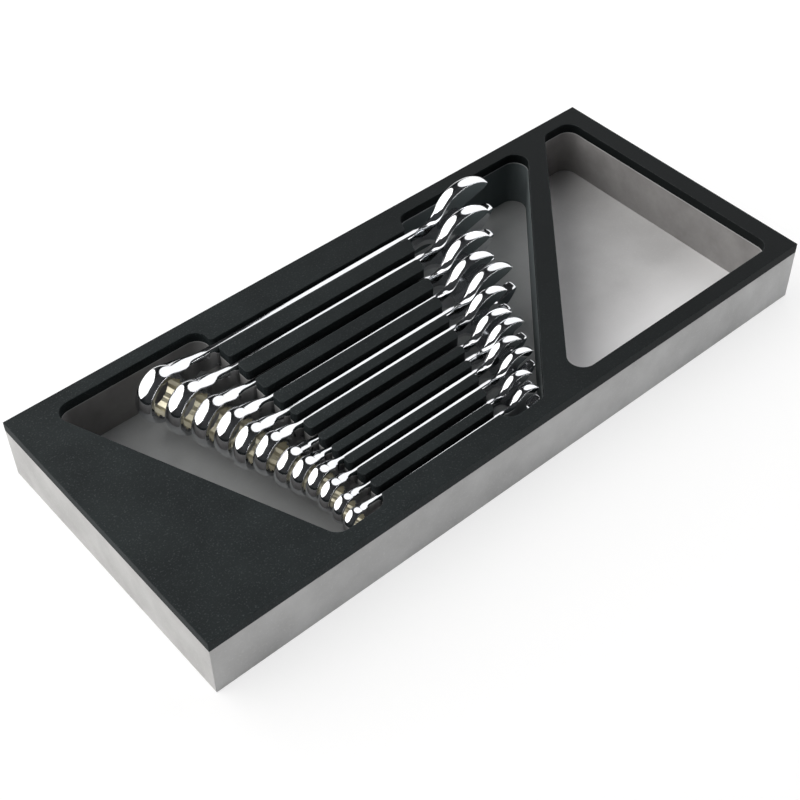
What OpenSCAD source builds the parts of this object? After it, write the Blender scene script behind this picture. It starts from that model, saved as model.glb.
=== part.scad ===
// Two-layer foam tray with three machined pockets and a slotted block
// that holds twelve combination wrenches on edge.
// Origin: centre of the underside. X runs along the tray from the ring ends
// to the open ends, Y across it from the smallest wrench to the largest, Z up.

/* [Tray] */
// Length of the foam block
tray_l = 400; // [396:1:430]
// Width of the foam block
tray_w = 174; // [172:1:190]
// Height of the foam block
tray_h = 38; // [37:0.5:44]
// Thickness of the dark top layer
top_t = 6; // [3:0.5:8]
// Thickness of the foam left under the pockets
floor_t = 3; // [2:0.5:6]

/* [Pockets] */
// Rim of foam along each long side
side_rim = 9; // [7:0.5:10]
// Rim of foam at the end with the empty pocket
end_rim = 12; // [8:0.5:16]
// Corner radius of the pockets
pocket_r = 8; // [4:0.5:9]
// Distance from the bare end of the tray to the slotted block
block_x = 111.5; // [110:0.5:113]
// Length of the ring pocket along the far side
ring_far_l = 92; // [88:0.5:98]
// Length of the ring pocket along the near side
ring_near_l = 31; // [29:0.5:42]
// Length of the slotted block along the far side
block_far_l = 139; // [136:0.5:141]
// Length of the slotted block along the near side
block_near_l = 72; // [69:0.5:74]
// Length of the open-end pocket along the far side
open_far_l = 102; // [96:0.5:106]
// Length of the open-end pocket along the near side
open_near_l = 29; // [27:0.5:32]
// Run along X of the slanting bar beside the empty pocket, at the far side
bar_far_l = 14.5; // [11:0.5:18]
// Run along X of the slanting bar beside the empty pocket, at the near side
bar_near_l = 17.5; // [14:0.5:22]

/* [Slots] */
// Place of each slot across the block, smallest wrench first: -1 is its near side, 1 its far side
slot_place = [-0.894, -0.769, -0.641, -0.513, -0.388, -0.256, -0.103, 0.038, 0.215, 0.404, 0.596, 0.812]; // [-0.9:0.001:0.82]
// Depth of each slot under the tray's top
slot_depth = [10.2, 11.2, 10.7, 11.2, 13.4, 15.3, 13.3, 13.8, 15.2, 16.9, 15.9, 15]; // [8:0.1:18]
// Gap on each side of a shank in its slot
slot_gap = 0.4; // [0.35:0.05:0.6]
// Radius of the block's corners at the mouths of the slots
mouth_r = 2; // [1:0.25:2.5]
// Gap under a shank that rests in its slot
seat_gap = 0.1; // [0.05:0.05:0.3]

/* [Wrench sizes] */
// Width across flats of each wrench, smallest first
sizes = [8, 9, 10, 11, 12, 13, 14, 15, 16, 17, 18, 19]; // [8:1:19]
// Distance that each ring centre stands out from the slotted block
ring_out = [17, 15.3, 14.8, 14, 15.5, 16.8, 19.7, 23.7, 24.1, 27, 31.7, 37.5]; // [14:0.1:38]
// Distance that each open head's centre stands out from the slotted block
head_out = [20.4, 20.0, 25.2, 21.7, 28.0, 24.3, 26.3, 33.5, 27.2, 31.0, 35.8, 41.8]; // [20:0.1:42]
// Width of each open head
head_w = [19.5, 21.5, 24.3, 25.6, 28, 29, 31, 35.5, 36, 37.5, 41, 44.5]; // [19:0.1:46]

/* [Wrench shape] */
// Play of a nut in the ring and between the jaws
nut_play = 0.2; // [0.1:0.05:0.3]
// Ring diameter gained for each millimetre of size
ring_d_rate = 1.58; // [1.5:0.01:1.62]
// Ring diameter on top of that
ring_d_base = 1.6; // [1:0.1:2]
// Ring thickness gained for each millimetre of size
ring_t_rate = 0.5; // [0.45:0.01:0.55]
// Ring thickness on top of that
ring_t_base = 1.2; // [0.8:0.1:1.6]
// Angle between the ring and the shank
ring_turn = 15; // [8:1:18]
// Angle between the jaws and the shank
jaw_turn = 15; // [10:1:18]
// Head thickness gained for each millimetre of size
head_t_rate = 0.31; // [0.28:0.01:0.36]
// Head thickness on top of that
head_t_base = 1.8; // [1.4:0.1:2.2]
// Shank width at the ring gained for each millimetre of size
shank_w_rate = 0.6; // [0.55:0.01:0.66]
// Shank width at the ring on top of that
shank_w_base = 2; // [1.5:0.1:2.5]
// Shank thickness gained for each millimetre of size
shank_t_rate = 0.2; // [0.18:0.01:0.24]
// Shank thickness on top of that
shank_t_base = 1.6; // [1.3:0.1:2]
// Widening of the shank towards the open end, on each side
shank_flare = 0.4; // [0.2:0.05:0.6]

/* [Hidden] */
$fn = 72;
// Overshoot of a cut past the face it leaves
cut = 1;
// Corner arcs are this much larger than ones that would leave their walls level
corner_bulge = 1.002;
mouth_bulge = 1.04;
// Plan of the tray, from its outline
left_x = -tray_l / 2;
far_y = tray_w / 2 - side_rim;
near_y = -far_y;
face_x = left_x + block_x;
end_x = tray_l / 2 - end_rim;
// Slanting edges: each is a line from the near side to the far side
edge_near = [face_x + block_near_l, near_y];
edge_far = [face_x + block_far_l, far_y];
bar_near = edge_near + [open_near_l, 0];
bar_far = edge_far + [open_far_l, 0];
// Sections of a forged shank: points round it, and how square it is
section_n = 16;
shank_square = 3;
neck_square = 5;
// Wrench shape as shares of the size or of a radius
bend_out = 0.15;
bend_soft = 0.2;
cap_in_ring = 0.8;
cap_height = 1.15;
cap_thick = 0.95;
neck_run = 0.2;
neck_swell = 0.45;
flare_start = 1.48;
swell_start = 1.4;
flare_thick = 0.95;
flare_end = 0.2;
flare_height = 0.94;
flush = 0.98;
jaw_arc = 1.12;
nut_out = 0.46;
nut_drop = 0.02;
jaw_depth = 0.58;
seat_r = 0.22;
tip_r = 0.08;
rim_crown = 0.85;
hole_chamfer = 0.07;
hex_to_round = 1.1547;

foam_grey = [0.66, 0.66, 0.67];
foam_black = [0.1, 0.11, 0.11];
chrome = [0.82, 0.83, 0.85];

// Sizes of wrench i that the rates give
function ring_r(i) = (ring_d_rate * sizes[i] + ring_d_base) / 2;
function ring_t(i) = ring_t_rate * sizes[i] + ring_t_base;
function head_t(i) = head_t_rate * sizes[i] + head_t_base;
function shank_w(i) = shank_w_rate * sizes[i] + shank_w_base;
function shank_t(i) = shank_t_rate * sizes[i] + shank_t_base;
function nut_w(i) = sizes[i] + nut_play;
// Distance from ring centre to open head centre: across the block, and out of it at both ends
function reach(i) = ring_out[i] + edge_x(slot_y(i)) - face_x + head_out[i];
// The shank bends towards the ring this far from the ring's centre
function bend_d(i) = ring_r(i) + bend_out * sizes[i];
// Open head centre, measured from the bend along the shank
function head_x(i) = reach(i) - bend_d(i) * cos(ring_turn);

// Centre line of slot i
function slot_y(i) = slot_place[i] * far_y;
// Unit step, and a ramp from 0 to 1 that leaves and arrives level
function clamp01(u) = min(1, max(0, u));
function ramp(a, b, x) = let (u = clamp01((x - a) / (b - a))) u * u * (3 - 2 * u);
// X of the slanting right edge of the slotted block at a given y
function edge_x(y) = edge_near[0]
    + (edge_far[0] - edge_near[0]) * (y - edge_near[1]) / (edge_far[1] - edge_near[1]);

// Corner i of a convex outline, moved inwards so that it is r from both edges
function unit(v) = v / norm(v);
function corner_dirs(pts, i) = let (n = len(pts))
    [unit(pts[(i + n - 1) % n] - pts[i]), unit(pts[(i + 1) % n] - pts[i])];
function half_angle(d) = acos(d[0] * d[1]) / 2;
function arc_centre(pts, i, r) = let (d = corner_dirs(pts, i))
    pts[i] + unit(d[0] + d[1]) * r / sin(half_angle(d));
function touch_points(pts, i, r) = let (d = corner_dirs(pts, i), t = r / tan(half_angle(d)))
    [pts[i] + d[0] * t, pts[i] + d[1] * t];

// Convex outline with every corner rounded to radius r
module rounded(pts, r) {
    polygon([for (i = [0 : len(pts) - 1]) for (p = touch_points(pts, i, r)) p]);
    for (i = [0 : len(pts) - 1])
        translate(arc_centre(pts, i, r)) circle(r * corner_bulge);
}

// Plans of the three pockets, counter-clockwise from the near left corner
module ring_pocket() {
    rounded([[face_x - ring_near_l, near_y], [face_x, near_y],
        [face_x, far_y], [face_x - ring_far_l, far_y]], pocket_r);
}
module open_pocket() {
    rounded([edge_near, bar_near, bar_far, edge_far], pocket_r);
}
module empty_pocket() {
    rounded([bar_near + [bar_near_l, 0], [end_x, near_y],
        [end_x, far_y], bar_far + [bar_far_l, 0]], pocket_r);
}

// Half the width of slot i
function slot_half(i) = shank_t(i) / 2 + slot_gap;
// Foam left over outside the rounded corner at p, between the directions d
module corner_cut(p, d, r) {
    run = r / tan(half_angle(d));
    out = unit(d[0] + d[1]);
    centre = p + out * r / sin(half_angle(d));
    difference() {
        polygon([p - out * cut, p + d[0] * run, centre, p + d[1] * run]);
        translate(centre) circle(r * mouth_bulge);
    }
}
// Plan of slot i: its run through the block, and the rounded corners of its mouths
module slot_plan(i) {
    slant = unit(edge_far - edge_near);
    translate([face_x - pocket_r, slot_y(i) - slot_half(i)])
        square([edge_x(slot_y(i)) - face_x + 2 * pocket_r, 2 * slot_half(i)]);
    // The nearest slot has none on its near side: it opens there into a pocket's corner
    for (side = i == 0 ? [1] : [-1, 1]) {
        y = slot_y(i) + side * slot_half(i);
        corner_cut([face_x, y], [[1, 0], [0, side]], mouth_r);
        corner_cut([edge_x(y), y], [[-1, 0], slant * side], mouth_r);
    }
}

// Everything machined out of the foam
module machining() {
    translate([0, 0, floor_t]) linear_extrude(tray_h) {
        ring_pocket();
        open_pocket();
        empty_pocket();
    }
    for (i = [0 : len(sizes) - 1])
        translate([0, 0, tray_h - slot_depth[i]]) linear_extrude(tray_h) slot_plan(i);
}
module layer(z, h) {
    difference() {
        translate([left_x, -tray_w / 2, z]) cube([tray_l, tray_w, h]);
        machining();
    }
}
module foam_base() {
    color(foam_grey) layer(0, tray_h - top_t);
}
module foam_top() {
    color(foam_black) layer(tray_h - top_t, top_t);
}

// Disc on edge, its axis along Y, with a crowned rim
module crowned_disc(r, t) {
    crown = rim_crown * t;
    rotate([90, 0, 0]) rotate_extrude() {
        translate([0, -t / 2]) square([r - crown, t]);
        intersection() {
            translate([r - crown, 0]) circle(crown);
            translate([0, -t / 2]) square([r, t]);
        }
    }
}
// Prism across the wrench, thickness t, of the outline that is its child
module across(t) {
    rotate([90, 0, 0]) linear_extrude(t, center = true) children();
}

// Ring with a crowned rim and a twelve-point hole, chamfered on both faces
module ring(i) {
    difference() {
        crowned_disc(ring_r(i), ring_t(i));
        for (turn = [0, 30])
            rotate([90, turn, 0])
                cylinder(r = nut_w(i) / 2 * hex_to_round, h = ring_t(i) + 2 * cut, center = true, $fn = 6);
        for (side = [-1, 1])
            rotate([90 * side, 0, 0]) translate([0, 0, ring_t(i) / 2 - hole_chamfer * sizes[i]])
                cylinder(r1 = nut_w(i) / 2, r2 = nut_w(i) / 2 + (hole_chamfer * sizes[i] + cut) * 1.3,
                    h = hole_chamfer * sizes[i] + cut);
    }
}

// Outside of a rounded jaw tip: what lies past an arc of radius r, from angle a to angle b
module tip_cut(centre, r, a, b) {
    far = 3 * r;
    translate(centre) difference() {
        polygon([[0, 0], far * [cos(a), sin(a)],
            2 * far * [cos((a + b) / 2), sin((a + b) / 2)], far * [cos(b), sin(b)]]);
        circle(r);
    }
}
// Open head about its own centre, jaws turned up from the shank
module open_head(i) {
    s = sizes[i];
    r = head_w[i] / 2;
    t = head_t(i);
    // The jaws run forward on flatter arcs, which leave the round head level
    arc = jaw_arc * r;
    // Nut centre, seen along the jaws
    nut = [nut_out * s, -nut_drop * s];
    rotate([0, -jaw_turn, 0]) difference() {
        union() {
            intersection() {
                crowned_disc(r, t);
                translate([-2 * arc, -t, -arc]) cube([2 * arc, 2 * t, 2 * arc]);
            }
            intersection() {
                translate([0, 0, r - arc]) crowned_disc(arc, t);
                translate([0, 0, arc - r]) crowned_disc(arc, t);
                translate([0, -t, -arc]) cube([2 * arc, 2 * t, 2 * arc]);
            }
        }
        across(t + 2 * cut) {
            // Gap between the jaws, its seat rounded in the corners
            translate(nut) rounded([[-jaw_depth * s, -nut_w(i) / 2], [3 * r, -nut_w(i) / 2],
                [3 * r, nut_w(i) / 2], [-jaw_depth * s, nut_w(i) / 2]], seat_r * s);
            for (side = [-1, 1]) {
                v = nut[1] + side * (nut_w(i) / 2 + tip_r * s);
                // Height above the centre of that jaw's arc
                h = v + side * (arc - r);
                u = sqrt((arc - tip_r * s) ^ 2 - h * h);
                tip_cut([u, v], tip_r * s, -90 * side, atan2(h, u));
            }
        }
    }
}

// Centre line of the bent shank: height across, and its direction
function line_y(i, x) = let (b = bend_soft * sizes[i]) tan(ring_turn) * (x - sqrt(x * x + b * b)) / 2;
function line_dir(i, x) = let (b = bend_soft * sizes[i])
    atan(tan(ring_turn) * (1 - x / sqrt(x * x + b * b)) / 2);
// Where the shank starts in the ring's wall and ends in the head
function x_cap(i) = -(bend_d(i) - cap_in_ring * ring_r(i)) * cos(ring_turn);
function x_neck(i) = neck_run * sizes[i];
function x_barrel(i) = -bend_out * sizes[i];
function x_slim(i) = neck_swell * sizes[i];
function x_swell(i) = head_x(i) - swell_start * head_w[i] / 2;
function x_flare(i) = head_x(i) - flare_start * head_w[i] / 2;
function x_thick(i) = head_x(i) - flare_thick * head_w[i] / 2;
function x_end(i) = head_x(i) - flare_end * head_w[i] / 2;
// Width and thickness along the shank
function taper(i, x) = shank_w(i) + 2 * shank_flare * x / x_flare(i);
function wide(i, x) = taper(i, x)
    + (cap_height * ring_r(i) - shank_w(i)) * (1 - ramp(x_cap(i), x_neck(i), x))
    + (flare_height * head_w[i] - taper(i, x_end(i))) * ramp(x_flare(i), x_end(i), x);
function thick(i, x) = shank_t(i)
    + (cap_thick * ring_t(i) - shank_t(i)) * (1 - ramp(x_barrel(i), x_slim(i), x))
    + (flush * head_t(i) - shank_t(i)) * ramp(x_swell(i), x_thick(i), x);
function squareness(i, x) = shank_square + (neck_square - shank_square)
    * (1 - ramp(x_barrel(i), x_slim(i), x) + ramp(x_swell(i), x_thick(i), x));
// Stations: close together where the section changes
function stations(i) = concat(
    [for (k = [0 : 8]) x_cap(i) + (x_slim(i) - x_cap(i)) * k / 8],
    [for (k = [0 : 9]) x_flare(i) + (x_end(i) - x_flare(i)) * k / 9]);
function bulge(c, e) = sign(c) * pow(abs(c), 2 / e);
function section(i, x) = let (w = wide(i, x), t = thick(i, x), a = line_dir(i, x), y = line_y(i, x),
        e = squareness(i, x))
    [for (k = [0 : section_n - 1]) let (q = 360 * k / section_n, v = t / 2 * bulge(cos(q), e))
        [x - v * sin(a), y + v * cos(a), w / 2 * bulge(sin(q), e)]];
// Forged shank, lofted through its sections
module shank(i) {
    st = stations(i);
    m = len(st);
    n = section_n;
    polyhedron(
        points = [for (x = st) each section(i, x)],
        faces = concat(
            [[for (k = [0 : n - 1]) k]],
            [[for (k = [n - 1 : -1 : 0]) (m - 1) * n + k]],
            [for (j = [0 : m - 2]) for (k = [0 : n - 1])
                [j * n + k, (j + 1) * n + k, (j + 1) * n + (k + 1) % n]],
            [for (j = [0 : m - 2]) for (k = [0 : n - 1])
                [j * n + k, (j + 1) * n + (k + 1) % n, j * n + (k + 1) % n]]),
        convexity = 6);
}

// Whole wrench, the bend at the origin and the shank along X
module wrench(i) {
    shank(i);
    rotate([0, 0, ring_turn]) translate([-bend_d(i), 0, 0]) ring(i);
    translate([head_x(i), 0, 0]) open_head(i);
}
// Wrench i on edge in its slot: the lower edge of its shank lies level
module seated(i) {
    tilt = atan(shank_flare / x_flare(i));
    bend_x = face_x - ring_out[i] + bend_d(i) * cos(ring_turn);
    bend_z = tray_h - slot_depth[i] + seat_gap + shank_w(i) / 2 / cos(tilt);
    color(chrome) translate([bend_x, slot_y(i), bend_z]) rotate([0, -tilt, 0]) wrench(i);
}
module wrench_08() { seated(0); }
module wrench_09() { seated(1); }
module wrench_10() { seated(2); }
module wrench_11() { seated(3); }
module wrench_12() { seated(4); }
module wrench_13() { seated(5); }
module wrench_14() { seated(6); }
module wrench_15() { seated(7); }
module wrench_16() { seated(8); }
module wrench_17() { seated(9); }
module wrench_18() { seated(10); }
module wrench_19() { seated(11); }

foam_base();
foam_top();
wrench_08();
wrench_09();
wrench_10();
wrench_11();
wrench_12();
wrench_13();
wrench_14();
wrench_15();
wrench_16();
wrench_17();
wrench_18();
wrench_19();
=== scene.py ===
"""Foam wrench tray: twelve chrome combination wrenches on edge in a layered foam tray.

It lies on a plain pale floor in soft studio light. Sizes are in millimetres up to the meshes,
and in metres from there on.
"""

import math
from functools import cached_property

import bmesh
import bpy
import numpy as np
from mathutils import Euler, Matrix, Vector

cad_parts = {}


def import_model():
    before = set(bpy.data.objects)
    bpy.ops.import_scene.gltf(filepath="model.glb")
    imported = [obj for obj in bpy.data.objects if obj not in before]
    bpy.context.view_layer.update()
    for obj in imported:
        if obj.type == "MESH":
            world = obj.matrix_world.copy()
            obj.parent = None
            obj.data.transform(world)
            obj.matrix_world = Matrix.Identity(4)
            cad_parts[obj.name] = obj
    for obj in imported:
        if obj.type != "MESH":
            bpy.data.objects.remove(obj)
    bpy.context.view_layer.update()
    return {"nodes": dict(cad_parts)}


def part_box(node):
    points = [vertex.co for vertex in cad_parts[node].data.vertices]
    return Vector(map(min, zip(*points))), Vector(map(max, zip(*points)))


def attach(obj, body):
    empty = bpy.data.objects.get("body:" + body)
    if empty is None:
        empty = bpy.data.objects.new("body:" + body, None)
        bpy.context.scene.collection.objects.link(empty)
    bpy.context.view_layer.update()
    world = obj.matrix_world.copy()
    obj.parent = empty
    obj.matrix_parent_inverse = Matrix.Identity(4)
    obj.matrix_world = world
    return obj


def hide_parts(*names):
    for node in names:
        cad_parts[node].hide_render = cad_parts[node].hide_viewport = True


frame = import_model()
MM = 0.001

# Corners of the dark sheet on top of the tray, from the frame
sheet_low, sheet_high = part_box("foam_top")
TRAY_H = sheet_high.z / MM

# Sizes and places of the tray's block and slots, as the CAD source has them
BAR_NEAR_X, BAR_FAR_X = 21.25, 159.75
FACE_X = -88.5
FAR_Y = 78.0
BLOCK_NEAR_L, BLOCK_FAR_L = 72.0, 139.0
SLOT_PLACE = [-0.894, -0.769, -0.641, -0.513, -0.388, -0.256, -0.103, 0.038, 0.215, 0.404, 0.596, 0.812]
SLOT_DEPTH = [10.2, 11.2, 10.7, 11.2, 13.4, 15.3, 13.3, 13.8, 15.2, 16.9, 15.9, 15]
SEAT_GAP = 0.1

# Sizes of the wrenches, and how far ring and head lie out of the block, as the CAD source has them
SIZES = [8, 9, 10, 11, 12, 13, 14, 15, 16, 17, 18, 19]
RING_OUT = [17, 15.3, 14.8, 14, 15.5, 16.8, 19.7, 23.7, 24.1, 27, 31.7, 37.5]
HEAD_OUT = [20.4, 20.0, 25.2, 21.7, 28.0, 24.3, 26.3, 33.5, 27.2, 31.0, 35.8, 41.8]
HEAD_W = [19.5, 21.5, 24.3, 25.6, 28, 29, 31, 35.5, 36, 37.5, 41, 44.5]
NUT_PLAY = 0.2
TURN = math.radians(15)
SHANK_FLARE = 0.4

# What grows with a wrench's size: a rate for each millimetre of it, and a fixed part
RING_D = 1.58, 1.6
RING_T = 0.5, 1.2
HEAD_T = 0.31, 1.8
SHANK_W = 0.6, 2
SHANK_T = 0.2, 1.6

# Shares of a wrench's size
BEND_REACH = 0.15
CHAMFER = 0.07
NECK_SLIM = 1.4
NECK_END = 2.1

# How far the shank's blends stay inside the rims of ring and head
INSET = 0.01

# Edges sharper than this stay crisp, and large faces weigh this much in the smooth shading
CREASE = math.radians(26)
FACE_WEIGHT = 80


def by_size(rate, s):
    return rate[0] * s + rate[1]


class Wrench:
    """The sizes of wrench i, and where it lies."""

    def __init__(self, i):
        s = SIZES[i]
        self.s = s
        self.ring_r = by_size(RING_D, s) / 2
        self.ring_t = by_size(RING_T, s)
        self.head_r = HEAD_W[i] / 2
        self.head_t = by_size(HEAD_T, s)
        self.shank_w = by_size(SHANK_W, s)
        self.shank_t = by_size(SHANK_T, s)
        self.nut = s + NUT_PLAY
        self.bend_d = self.ring_r + BEND_REACH * s
        # The neck is as slim as the shank from here on, before the slot takes it in
        self.slim = min(NECK_SLIM * s, RING_OUT[i] + 0.5)
        y = SLOT_PLACE[i] * FAR_Y
        block = BLOCK_NEAR_L + (BLOCK_FAR_L - BLOCK_NEAR_L) * (y + FAR_Y) / 2 / FAR_Y
        self.head_x = RING_OUT[i] + block + HEAD_OUT[i] - self.bend_d * math.cos(TURN)
        # The shank widens up to here
        self.x_flare = self.head_x - 1.48 * self.head_r
        tilt = math.atan(SHANK_FLARE / self.x_flare)
        bend = (
            FACE_X - RING_OUT[i] + self.bend_d * math.cos(TURN),
            y,
            TRAY_H - SLOT_DEPTH[i] + SEAT_GAP + self.shank_w / 2 / math.cos(tilt),
        )
        self.place = Matrix.Translation(bend) @ Matrix.Rotation(-tilt, 4, "Y")


def ramp(a, b, x):
    """0 before a, 1 after b, and level and straight at both ends."""
    u = np.clip((x - a) / (b - a), 0, 1)
    return u**3 * (10 - 15 * u + 6 * u * u)


# Meshes


class Shells:
    """Vertices and faces of the closed shells that make up one piece."""

    def __init__(self):
        self.points = []
        self.faces = []
        self.finish = []

    def add(self, points, faces, finish=None):
        """finish is the material slot of each face."""
        start = len(self.points)
        self.points.extend(map(tuple, points))
        self.faces.extend([start + k for k in f] for f in faces)
        self.finish.extend(finish or [0] * len(faces))

    def piece(self, name, place):
        mesh = bpy.data.meshes.new(name)
        mesh.from_pydata(self.points, [], self.faces)
        mesh.transform(Matrix.Scale(MM, 4) @ place)
        mesh.polygons.foreach_set("material_index", self.finish)
        mesh.shade_smooth()
        clean(mesh)
        mesh.set_sharp_from_angle(angle=CREASE)
        obj = bpy.data.objects.new(name, mesh)
        bpy.context.scene.collection.objects.link(obj)
        even = obj.modifiers.new("even_shading", "WEIGHTED_NORMAL")
        even.keep_sharp = True
        even.weight = FACE_WEIGHT
        return obj


def clean(mesh):
    """Rows of points that meet are joined, and every shell's faces look out."""
    bm = bmesh.new()
    bm.from_mesh(mesh)
    bmesh.ops.remove_doubles(bm, verts=bm.verts, dist=1e-7)
    bmesh.ops.recalc_face_normals(bm, faces=bm.faces)
    bm.to_mesh(mesh)
    bm.free()


def strips(rows, n, closed_rows):
    """Faces between rows of n points each, every row a closed loop."""
    faces = []
    for j in range(rows if closed_rows else rows - 1):
        a, b = j * n, ((j + 1) % rows) * n
        for k in range(n):
            m = (k + 1) % n
            faces.append([a + k, b + k, b + m, a + m])
    return faces


def ends(rows, n):
    """The two faces that close a tube of rows of n points."""
    last = (rows - 1) * n
    return [list(range(n)), [last + k for k in range(n)][::-1]]


class Rim:
    """Crowned rim of a disc of thickness t, with a soft arc at each face.

    A drop is how far the rim lies inside the disc's edge.
    """

    def __init__(self, t):
        self.half = t / 2
        self.crown = 0.85 * t
        self.edge = 0.07 * t
        self.flat = self.half - self.edge
        self.at = math.sqrt((self.crown - self.edge) ** 2 - self.flat**2)
        self.angle = math.atan2(self.flat, self.at)

    def drop(self, v):
        """Drop at a share v of the half thickness."""
        v = np.abs(v) * self.half
        on_crown = self.crown - np.sqrt(np.maximum(self.crown**2 - v**2, 0))
        on_edge = self.crown - self.at - np.sqrt(np.maximum(self.edge**2 - (v - self.flat) ** 2, 0))
        return np.where(v <= self.crown * math.sin(self.angle), on_crown, on_edge)

    def points(self, n, m):
        """n points of the crown and m of the arc, as (drop, distance from the middle plane)."""
        out = []
        for a in np.linspace(0, self.angle, n):
            out.append((self.crown * (1 - math.cos(a)), self.crown * math.sin(a)))
        for a in np.linspace(self.angle, math.pi / 2, m)[1:]:
            drop = self.crown - self.at - self.edge * math.cos(a)
            out.append((drop, self.flat + self.edge * math.sin(a)))
        return out


def twelve_point(nut, degrees):
    """Radius of a twelve-point hole for a nut, its corners cut off."""
    phi = degrees % 30
    side = nut / 2 / math.cos(math.radians(min(phi, 30 - phi) - 30))
    return min(side, 0.57 * nut)


def ring_shell(w, shells):
    """Crowned ring with a twelve-point hole, chamfered on both faces."""
    t = w.ring_t / 2
    slope = 1.3
    mouth = w.nut / 2 + CHAMFER * w.s * slope
    soft = 0.03 * w.s
    half = [(w.ring_r - drop, y) for drop, y in Rim(w.ring_t).points(10, 6)]
    # The soft edge between the face and the chamfer
    half.append((mouth + soft, t))
    half.append((mouth + 0.35 * soft, t - 0.12 * soft))
    half.append((mouth - 0.3 * soft, t - 0.55 * soft))
    turns = 240
    rows = []
    for k in range(turns):
        a = 2 * math.pi * k / turns
        hole = twelve_point(w.nut, math.degrees(a))
        top = half + [(hole, t - (mouth - hole) / slope)]
        loop = top + [(r, -y) for r, y in reversed(top[1:])]
        rows += [(r * math.cos(a), y, r * math.sin(a)) for r, y in loop]
    n = len(loop)
    # The ring's own axes: x towards the shank, y its axis
    c, s = math.cos(TURN), math.sin(TURN)
    placed = [((x - w.bend_d) * c - y * s, (x - w.bend_d) * s + y * c, z) for x, y, z in rows]
    faces = [f[::-1] for f in strips(turns, n, True)]
    wall = len(half)
    shells.add(placed, faces, [1 if k % n == wall else 0 for k in range(len(faces))])


def fillet_height(d, r, h, f):
    """Height of an outline at distance d from a round form of radius r.

    A level at height h runs into the form on an arc of radius f.
    """
    foot = np.sqrt((r + f) ** 2 - (h + f) ** 2)
    touch = r * foot / (r + f)
    on_arc = h + f - np.sqrt(np.maximum(f**2 - (foot - d) ** 2, 0))
    on_round = np.sqrt(np.maximum(r**2 - d**2, 0))
    return np.where(d >= foot, h, np.where(d >= touch, on_arc, on_round))


def centre_line(w, p):
    """Where the shank's centre line is at p from its bend, and its direction.

    It lies on the ring's line before the bend, and on x after it.
    """
    reach = BEND_REACH * w.s
    a = TURN * (1 - min(max((p + reach) / (2 * reach), 0), 1))
    if p <= -reach:
        return p * math.cos(TURN), p * math.sin(TURN), a
    if p >= reach:
        return p, 0.0, a
    r = reach / math.tan(TURN / 2)
    return reach - r * math.sin(a), -r * (1 - math.cos(a)), a


def shank_path(w, wall):
    """Places of the shank's sections, closer where it swells, and how many lie over the ring's hole."""
    over = np.linspace(0.35 * w.ring_r, wall, 14) - w.bend_d
    near = np.linspace(wall, NECK_END * w.s, 44) - w.bend_d
    far = w.head_x - np.linspace(1.62 * w.head_r, 0.35 * w.head_r, 40)
    middle = np.linspace(near[-1], far[0], 12)[1:-1]
    return np.concatenate([over, near, middle, far]), len(over)


def shank_shell(w, shells):
    """Forged shank from inside the ring's wall to inside the head, blended into both."""
    t_ring, t_head, t_shank = w.ring_t / 2, w.head_t / 2, w.shank_t / 2
    f_above, f_below, f_head = 2.6 * w.s, 1.1 * w.s, 1.12 * w.head_r

    # Shares of the half thickness across a section, closer at its sides
    half = np.minimum(np.sin(np.linspace(0.0, math.pi / 2, 15)) ** (2 / 3), 0.999)
    across = np.concatenate([-half[::-1], half[1:]])
    crown = Rim(w.ring_t).drop(across)
    r_ring = w.ring_r - crown - INSET
    r_head = w.head_r - Rim(w.head_t).drop(across) - INSET

    # The blend over the hole stays in the ring's wall, so it has no lower half
    wall = 0.8 * w.ring_r
    path, over = shank_path(w, wall)
    points = []
    for k, p in enumerate(path):
        x, y, a = centre_line(w, p)
        d_ring = w.bend_d + p
        d_head = w.head_x - p
        level = w.shank_w / 2 + SHANK_FLARE * min(max(p / w.x_flare, 0), 1)
        # The neck hides the ring's own edge, and the head's edge hides the neck
        t = t_shank
        t += (1.004 * t_ring - t_shank) * (1 - ramp(wall, w.slim, d_ring))
        t += (0.997 * t_head - t_shank) * (1 - ramp(0.85 * w.head_r, 1.2 * w.head_r, d_head))
        # Crowned like the ring beside it, a slim crest at the head, and squarer between them
        square = 4 - 2.65 * (1 - ramp(1.25 * w.head_r, 2.1 * w.head_r, d_head))
        at_ring = 1 - ramp(1.05 * w.ring_r, w.slim, d_ring)
        h = (1 - at_ring) * level * (1 - np.abs(across) ** square) ** (1 / square)
        h += at_ring * (level - crown)
        if d_ring >= d_head:
            above = below = fillet_height(d_head, r_head, h, f_head)
        else:
            above = fillet_height(d_ring, r_ring, h, f_above)
            below = fillet_height(d_ring, r_ring, h, f_below)
        if k < over:
            below = np.full_like(across, -math.sqrt(max(wall**2 - d_ring**2, 0)))
        sx, sy = -math.sin(a) * t, math.cos(a) * t
        points += [(x + v * sx, y + v * sy, z) for v, z in zip(across, above)]
        points += [(x + v * sx, y + v * sy, -z) for v, z in zip(across[::-1], below[::-1])]
    n = 2 * len(across)
    rows = len(path)
    shells.add(points, strips(rows, n, False) + ends(rows, n))


def arc(cu, cv, r, a, b, n):
    return [(cu + r * math.cos(q), cv + r * math.sin(q)) for q in np.linspace(a, b, n)]


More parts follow.
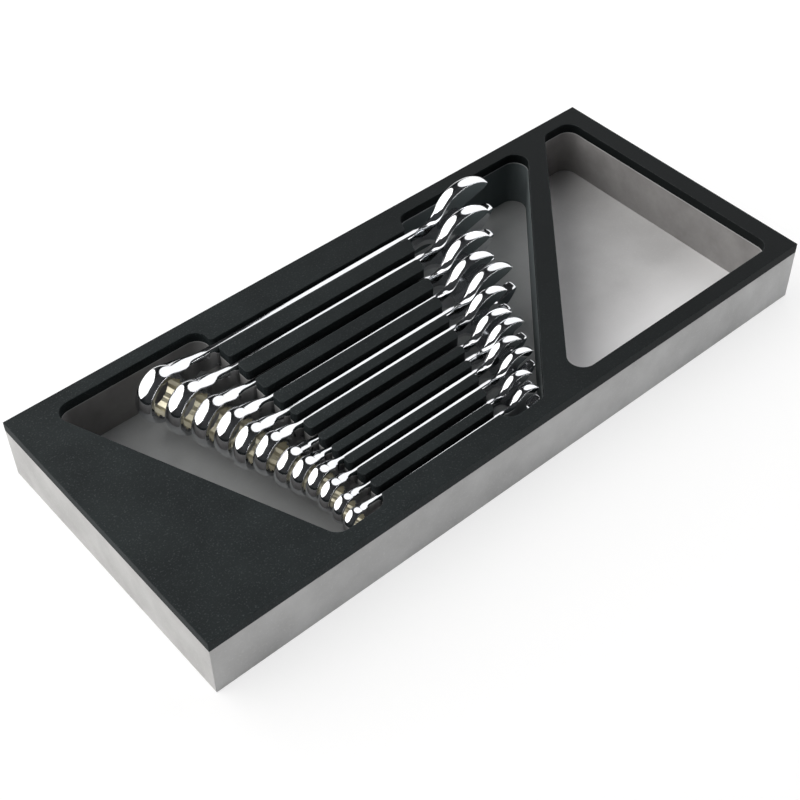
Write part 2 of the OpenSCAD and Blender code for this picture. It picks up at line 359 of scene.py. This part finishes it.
def head_outline(w):
    """Outline of the open head about its centre, the jaws along u.

    With each point goes the share of the rim's drop that it takes.
    """
    s, r = w.s, w.head_r
    jaw_r = 1.12 * r
    tip, seat = 0.08 * s, 0.22 * s
    nut_u, nut_v = 0.46 * s, -0.02 * s
    back = nut_u - 0.58 * s
    gap = w.nut / 2
    at_tip = min(1, 0.7 * tip / float(Rim(w.head_t).drop(1.0)))
    inner = 0.08

    def jaw(side):
        """From the top of the head to the corner of the seat, for the upper or the lower jaw."""
        top, in_jaw = side * math.pi / 2, nut_v + side * gap
        cv = side * (r - jaw_r)
        tv = in_jaw + side * tip
        h = tv - cv
        tu = math.sqrt((jaw_r - tip) ** 2 - h * h)
        end = math.atan2(h, tu)
        out = []
        for u, v in arc(0, cv, jaw_r, top, end, 26):
            away = min(1, math.hypot(u - tu, v - tv) / (4 * tip))
            out.append((u, v, at_tip + (1 - at_tip) * away))
        out += [(u, v, at_tip) for u, v in arc(tu, tv, tip, end, -top, 9)[1:]]
        for q in np.linspace(0.06, 1, 12):
            share = inner + (at_tip - inner) * max(0, 1 - 6 * q)
            out.append((tu - (tu - back - seat) * q, in_jaw, share))
        corner = arc(back + seat, in_jaw - side * seat, seat, top, 2 * top, 9)
        out += [(u, v, inner) for u, v in corner[1:]]
        return out

    behind = [(u, v, 1.0) for u, v in arc(0, 0, r, -math.pi / 2, -3 * math.pi / 2, 60)[1:-1]]
    # Clockwise: over the upper jaw, through the gap, back under the lower jaw and round behind
    return jaw(1) + jaw(-1)[::-1] + behind


def head_shell(w, shells):
    """Open head: a plate with a crowned rim, its jaws turned up from the shank."""
    line = np.array(head_outline(w))
    p, share = line[:, :2], line[:, 2]
    d = np.roll(p, -1, 0) - np.roll(p, 1, 0)
    d /= np.linalg.norm(d, axis=1)[:, None]
    inward = np.stack([d[:, 1], -d[:, 0]], 1)
    half = Rim(w.head_t).points(8, 5)
    profile = [(drop, y) for drop, y in reversed(half)] + [(drop, -y) for drop, y in half[1:]]
    c, s = math.cos(TURN), math.sin(TURN)
    points = []
    for drop, y in profile:
        q = p + inward * (drop * share)[:, None]
        points += [(w.head_x + u * c - v * s, y, u * s + v * c) for u, v in q]
    n = len(line)
    rows = len(profile)
    faces = [f[::-1] for f in strips(rows, n, False)]
    shells.add(points, faces + ends(rows, n))


wrenches = []
for i, size in enumerate(SIZES):
    w = Wrench(i)
    shells = Shells()
    ring_shell(w, shells)
    shank_shell(w, shells)
    head_shell(w, shells)
    obj = shells.piece("polished_wrench_%02d" % size, w.place)
    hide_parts("wrench_%02d" % size)
    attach(obj, "root")
    wrenches.append(obj)


# Materials


class Nodes:
    """The node tree of a material or a world, with short calls for the nodes that are used."""

    def __init__(self, owner, output):
        owner.use_nodes = True
        self.owner = owner
        self.tree = owner.node_tree
        self.tree.nodes.clear()
        self.out = self.node(output)

    @cached_property
    def place(self):
        return self.node("ShaderNodeTexCoord").outputs["Object"]

    def node(self, kind, **values):
        made = self.tree.nodes.new(kind)
        for name, value in values.items():
            setattr(made, name, value)
        return made

    def link(self, a, b):
        self.tree.links.new(a, b)

    def noise(self, scale, detail, rough, vector=None):
        made = self.node("ShaderNodeTexNoise")
        made.inputs["Scale"].default_value = scale
        made.inputs["Detail"].default_value = detail
        made.inputs["Roughness"].default_value = rough
        self.link(vector or self.place, made.inputs["Vector"])
        return made.outputs["Fac"]

    def stretched(self, x, y, z):
        made = self.node("ShaderNodeMapping")
        made.inputs["Scale"].default_value = (x, y, z)
        self.link(self.place, made.inputs["Vector"])
        return made.outputs["Vector"]

    def span(self, value, start, end, low=0, high=1):
        """value from start..end taken to low..high."""
        made = self.node("ShaderNodeMapRange")
        self.link(value, made.inputs["Value"])
        made.inputs["From Min"].default_value = start
        made.inputs["From Max"].default_value = end
        made.inputs["To Min"].default_value = low
        made.inputs["To Max"].default_value = high
        return made.outputs["Result"]

    def math(self, operation, a, b):
        made = self.node("ShaderNodeMath", operation=operation)
        for k, v in enumerate((a, b)):
            if isinstance(v, (int, float)):
                made.inputs[k].default_value = v
            else:
                self.link(v, made.inputs[k])
        return made.outputs[0]

    def times(self, a, b):
        return self.math("MULTIPLY", a, b)

    def xyz(self, vector):
        made = self.node("ShaderNodeSeparateXYZ")
        self.link(vector, made.inputs[0])
        return made.outputs

    def mix(self, factor, a, b):
        """Colour a where factor is 0, and b where it is 1."""
        made = self.node("ShaderNodeMix", data_type="RGBA")
        self.link(factor, made.inputs[0])
        for k, v in ((6, a), (7, b)):
            if isinstance(v, tuple):
                made.inputs[k].default_value = (*v, 1)
            else:
                self.link(v, made.inputs[k])
        return made.outputs[2]

    def bump(self, height, strength, distance, normal=None):
        made = self.node("ShaderNodeBump")
        made.inputs["Strength"].default_value = strength
        made.inputs["Distance"].default_value = distance
        self.link(height, made.inputs["Height"])
        if normal:
            self.link(normal, made.inputs["Normal"])
        return made.outputs["Normal"]

    def shader(self, kind, **values):
        made = self.node(kind)
        for name, v in values.items():
            made.inputs[name.replace("_", " ")].default_value = v
        return made

    def surface(self, **values):
        made = self.shader("ShaderNodeBsdfPrincipled", **values)
        self.link(made.outputs[0], self.out.inputs["Surface"])
        return made

    def mix_surface(self, factor, a, b):
        """Shader a where factor is 0, and b where it is 1."""
        made = self.node("ShaderNodeMixShader")
        self.link(factor, made.inputs[0])
        self.link(a.outputs[0], made.inputs[1])
        self.link(b.outputs[0], made.inputs[2])
        self.link(made.outputs[0], self.out.inputs["Surface"])

    def shown_to_camera(self):
        """1 for what the camera sees straight, in a reflection or through glass."""
        path = self.node("ShaderNodeLightPath")
        total = path.outputs["Is Camera Ray"]
        for name in ("Is Glossy Ray", "Is Transmission Ray"):
            total = self.math("MAXIMUM", total, path.outputs[name])
        return total


def new_material(name):
    return Nodes(bpy.data.materials.new(name), "ShaderNodeOutputMaterial")


def chrome():
    m = new_material("polished_chrome")
    s = m.surface(Metallic=1.0, IOR=2.5)
    haze = m.span(m.noise(scale=90, detail=4, rough=0.6), 0.35, 0.7)
    m.link(m.mix(haze, (0.66, 0.67, 0.685), (0.73, 0.738, 0.75)), s.inputs["Base Color"])
    smears = m.noise(scale=260, detail=5, rough=0.7)
    m.link(m.span(smears, 0.3, 0.75, 0.05, 0.12), s.inputs["Roughness"])
    forged = m.noise(scale=75, detail=2, rough=0.5)
    scratches = m.noise(scale=900, detail=3, rough=0.6, vector=m.stretched(0.12, 1, 1))
    n = m.bump(forged, strength=0.07, distance=0.0006)
    n = m.bump(scratches, strength=0.06, distance=0.00005, normal=n)
    m.link(n, s.inputs["Normal"])
    return m.owner


def satin():
    """Broached, unpolished wall of a ring's hole, slightly warm."""
    m = new_material("broached_steel")
    s = m.surface(Metallic=1.0)
    shade = m.span(m.noise(scale=120, detail=2, rough=0.5), 0.3, 0.7)
    m.link(m.mix(shade, (0.50, 0.47, 0.36), (0.60, 0.57, 0.45)), s.inputs["Base Color"])
    grain = m.noise(scale=150, detail=3, rough=0.6)
    m.link(m.span(grain, 0.3, 0.7, 0.34, 0.46), s.inputs["Roughness"])
    cuts = m.noise(scale=900, detail=2, rough=0.6, vector=m.stretched(1, 0.05, 1))
    m.link(m.bump(cuts, strength=0.05, distance=0.00003), s.inputs["Normal"])
    return m.owner


BLACK_FOAM = {
    "dark": (0.0115, 0.015, 0.016),
    "light": (0.0175, 0.0225, 0.0235),
    "speck": (0.05, 0.057, 0.06),
    "speck_size": 1100,
    "speck_share": 0.75,
    "rough": 0.6,
    "shine": 0.11,
    "edge_highlight": (0.07, 0.078, 0.082),
}
# Painted shade for the right end of the black skin
PAINTED_SHADE_BLACK = (0.003, 0.0042, 0.0045)
GREY_FOAM = {
    "dark": (0.49, 0.487, 0.483),
    "light": (0.60, 0.597, 0.592),
    "speck": (0.68, 0.68, 0.675),
    "speck_size": 700,
    "speck_share": 0.4,
    "rough": 0.9,
    "shine": 0.2,
    "edge_highlight": (0.68, 0.68, 0.675),
}
# Routed walls: partly the cut foam's own darker tone, partly painted shade
ROUTED_SHADED_DARK, ROUTED_SHADED_LIGHT = (0.235, 0.228, 0.225), (0.31, 0.302, 0.298)
# Painted light on the pocket floors
FLOOR_PAINTED_LIGHT = (0.74, 0.732, 0.742)
# Painted light for the empty pocket's near end
NEAR_END_PAINTED_LIGHT = (0.86, 0.855, 0.86)
# Painted shade in the pockets that hold the wrenches
PAINTED_POCKET_SHADE = (0.075, 0.1, 0.105)
# Painted highlight along the seam of the two foams
SEAM_HIGHLIGHT = (0.6, 0.6, 0.6)


def skin(m, look):
    """Fine cells over faint mottling."""
    mottle = m.noise(scale=28, detail=4, rough=0.6)
    cells = m.noise(scale=look["speck_size"], detail=2, rough=0.6)
    colour = m.mix(m.span(mottle, 0.35, 0.65), look["dark"], look["light"])
    return m.mix(m.span(cells, 0.56, 0.74, 0, look["speck_share"]), colour, look["speck"])


def painted_shade_right(m, colour):
    """Painted shade: the black skin darkens towards the right end, standing in for the light falling off
    from the left.
    """
    x = m.xyz(m.place)[0]
    return m.mix(m.span(x, -0.1, 0.12, 0, 0.85), colour, PAINTED_SHADE_BLACK)


def pockets(m, colour):
    """Routed walls and floors. The walls are darker, partly the cut foam's own tone and partly painted
    shade; the floors take painted light, the wrench pockets painted shade, and the walls a painted
    highlight line where the two foams meet.
    """
    x, y, z = m.xyz(m.place)
    up = m.xyz(m.node("ShaderNodeNewGeometry").outputs["True Normal"])[2]
    side = 0.0005
    in_x = m.math("LESS_THAN", m.math("ABSOLUTE", x, 0.0), sheet_high.x - side)
    in_y = m.math("LESS_THAN", m.math("ABSOLUTE", y, 0.0), sheet_high.y - side)
    inside = m.times(in_x, in_y)
    routed = m.times(inside, m.math("LESS_THAN", up, 0.5))
    lit_floors = m.times(inside, m.math("GREATER_THAN", up, 0.5))
    grain = m.span(m.noise(scale=60, detail=4, rough=0.6), 0.3, 0.7)
    # Painted shade, partly the cut foam's own tone, darkens the walls against the floors
    colour = m.mix(routed, colour, m.mix(grain, ROUTED_SHADED_DARK, ROUTED_SHADED_LIGHT))
    # Painted light lightens the pocket floors
    colour = m.mix(m.times(lit_floors, 0.35), colour, FLOOR_PAINTED_LIGHT)
    # Painted shade in the pockets that hold the wrenches, left of the bar: their walls darkest at the
    # right
    bar_slope = (BAR_FAR_X - BAR_NEAR_X) / 2 / FAR_Y
    from_bar = m.math("SUBTRACT", x, m.times(y, bar_slope))
    held = m.times(inside, m.math("LESS_THAN", from_bar, (BAR_NEAR_X + BAR_FAR_X) / 2 * MM))
    wall_shade_ramp = m.times(routed, m.span(x, -0.12, 0.05, -0.4, 0.38))
    colour = m.mix(m.times(held, m.math("ADD", 0.44, wall_shade_ramp)), colour, PAINTED_POCKET_SHADE)
    # Painted light: the empty pocket's floor is lightened towards its near end
    empty = m.math("SUBTRACT", lit_floors, held)
    colour = m.mix(m.times(empty, m.span(y, -0.02, -0.05, 0, 0.75)), colour, NEAR_END_PAINTED_LIGHT)
    # Painted highlight: a light line on the walls just under the black sheet
    seam_glint = m.span(z, sheet_low.z - 0.0009, sheet_low.z - 0.0002, 0, 0.5)
    return m.mix(m.times(seam_glint, routed), colour, SEAM_HIGHLIGHT)


def foam(name, look, pattern):
    """Closed-cell foam with a painted highlight along its cut edges. pattern paints light and shade into
    the skin's colour by place.
    """
    m = new_material(name)
    s = m.surface(Roughness=look["rough"], Specular_IOR_Level=look["shine"])
    colour = pattern(m, skin(m, look))
    # Where the rounded normal leaves the true one, there is a cut edge
    soft = m.node("ShaderNodeBevel", samples=4)
    soft.inputs["Radius"].default_value = 0.0007
    dot = m.node("ShaderNodeVectorMath", operation="DOT_PRODUCT")
    m.link(soft.outputs[0], dot.inputs[0])
    m.link(m.node("ShaderNodeNewGeometry").outputs["Normal"], dot.inputs[1])
    edge = m.span(dot.outputs["Value"], 0.99, 0.8)
    # Painted highlight on the cut edges, broken up by noise
    highlight_breakup = m.span(m.noise(scale=400, detail=2, rough=0.6), 0.3, 0.6, 0.25, 0.8)
    m.link(m.mix(m.times(edge, highlight_breakup), colour, look["edge_highlight"]), s.inputs["Base Color"])
    cells = m.noise(scale=1500, detail=2, rough=0.6)
    waves = m.noise(scale=45, detail=2, rough=0.5)
    n = m.bump(cells, strength=0.35, distance=0.00012, normal=soft.outputs[0])
    n = m.bump(waves, strength=0.12, distance=0.0008, normal=n)
    m.link(n, s.inputs["Normal"])
    return m.owner


def give(obj, material):
    if not obj.data.materials:
        obj.data.materials.append(material)
    for k in range(len(obj.data.materials)):
        obj.data.materials[k] = material


metal, bore = chrome(), satin()
for obj in wrenches:
    obj.data.materials.append(metal)
    obj.data.materials.append(bore)
give(frame["nodes"]["foam_top"], foam("black_foam", BLACK_FOAM, painted_shade_right))
give(frame["nodes"]["foam_base"], foam("grey_foam", GREY_FOAM, pockets))


# Stage


def object_from(mesh, material):
    obj = bpy.data.objects.new(mesh.name, mesh)
    bpy.context.scene.collection.objects.link(obj)
    mesh.materials.append(material)
    return obj


def floor():
    """Plain white table, which keeps a soft shadow."""
    mesh = bpy.data.meshes.new("floor")
    far = 12.0
    mesh.from_pydata([(-far, -far, 0), (far, -far, 0), (far, far, 0), (-far, far, 0)], [], [[0, 1, 2, 3]])
    m = new_material("pale_floor")
    lit = m.shader("ShaderNodeBsdfDiffuse", Color=(0.8, 0.8, 0.8, 1))
    # What the camera sees: mostly white, and wholly so far from the object
    seen = m.shader("ShaderNodeBsdfDiffuse", Color=(0.3, 0.3, 0.3, 1))
    glow = m.node("ShaderNodeEmission")
    away = m.node("ShaderNodeVectorMath", operation="LENGTH")
    m.link(m.place, away.inputs[0])
    m.link(m.span(away.outputs["Value"], 0.35, 1.3, 0.74, 1.0), glow.inputs["Strength"])
    both = m.node("ShaderNodeAddShader")
    m.link(seen.outputs[0], both.inputs[0])
    m.link(glow.outputs[0], both.inputs[1])
    m.mix_surface(m.shown_to_camera(), lit, both)
    object_from(mesh, m.owner)


def room():
    """Dark room round the table, which polished metal mirrors between the soft boxes."""
    rows, n, r = 10, 48, 3.2
    points = []
    for j in range(rows):
        e = math.pi / 2 * j / rows
        for k in range(n):
            a = 2 * math.pi * k / n
            points.append((r * math.cos(e) * math.cos(a), r * math.cos(e) * math.sin(a), r * math.sin(e)))
    roof = list(range((rows - 1) * n, rows * n))
    mesh = bpy.data.meshes.new("room")
    mesh.from_pydata(points, [], strips(rows, n, False) + [roof])
    m = new_material("dark_cloth")
    m.surface(Base_Color=(0.05, 0.052, 0.056, 1), Roughness=1.0)
    obj = object_from(mesh, m.owner)
    obj.visible_camera = False


def world():
    """Even light, shown as white."""
    studio = bpy.data.worlds.new("studio")
    bpy.context.scene.world = studio
    m = Nodes(studio, "ShaderNodeOutputWorld")
    light = m.shader("ShaderNodeBackground", Color=(1, 1, 1, 1), Strength=0.5)
    white = m.shader("ShaderNodeBackground", Color=(1, 1, 1, 1), Strength=1.0)
    m.mix_surface(m.shown_to_camera(), light, white)


def soft_box(name, turn, height, lean, wide, low, high, glow, tint):
    """Oval soft box 1.6 m away, seen at turn and height in degrees, and leaning by lean.

    wide is the half width, and low and high are the ends, of the rectangle that the oval
    stands for, all as they would be at 1 m.
    """
    a, e, q = (math.radians(v) for v in (turn, height, lean))
    away = 1.6
    oval = 1.08
    out = np.array([math.sin(a) * math.cos(e), math.cos(a) * math.cos(e), math.sin(e)])
    right = np.array([math.cos(a), -math.sin(a), 0.0])
    up = np.cross(right, out)
    x = -(right * math.cos(q) + up * math.sin(q))
    y = up * math.cos(q) - right * math.sin(q)
    centre = (out + y * (low + high) / 2) * away
    data = bpy.data.lights.new(name, "AREA")
    data.shape = "ELLIPSE"
    data.size = 2 * wide * away * oval
    data.size_y = (high - low) * away * oval
    area = math.pi / 4 * data.size * data.size_y
    data.energy = glow * math.pi * area
    data.color = tint
    obj = bpy.data.objects.new(name, data)
    bpy.context.scene.collection.objects.link(obj)
    rows = [[float(x[k]), float(y[k]), float(out[k]), float(centre[k])] for k in range(3)]
    obj.matrix_world = Matrix(rows + [[0, 0, 0, 1]])


def camera():
    data = bpy.data.cameras.new("camera")
    data.sensor_width = 36
    data.lens = 65.461
    data.clip_start = 0.01
    data.clip_end = 50
    obj = bpy.data.objects.new("camera", data)
    bpy.context.scene.collection.objects.link(obj)
    at = (-0.364836, -0.415988, 0.563866)
    turn = Euler([math.radians(v) for v in (43.63606, 0.76125, -40.76633)], "XYZ")
    obj.matrix_world = Matrix.Translation(at) @ turn.to_matrix().to_4x4()
    bpy.context.scene.camera = obj


floor()
room()
world()
soft_box("soft_box_left", -29, 20, 37, 0.82, -0.95, 2.1, 2.7, (1.0, 0.99, 0.975))
soft_box("soft_box_right", 68, 30, -20, 0.6, -0.7, 0.8, 1.45, (0.985, 0.99, 1.0))
soft_box("low_card", 165, 3.5, 0, 0.9, -0.06, 0.1, 4.8, (0.98, 0.99, 1.0))
camera()
bpy.context.scene.view_settings.view_transform = "Standard"
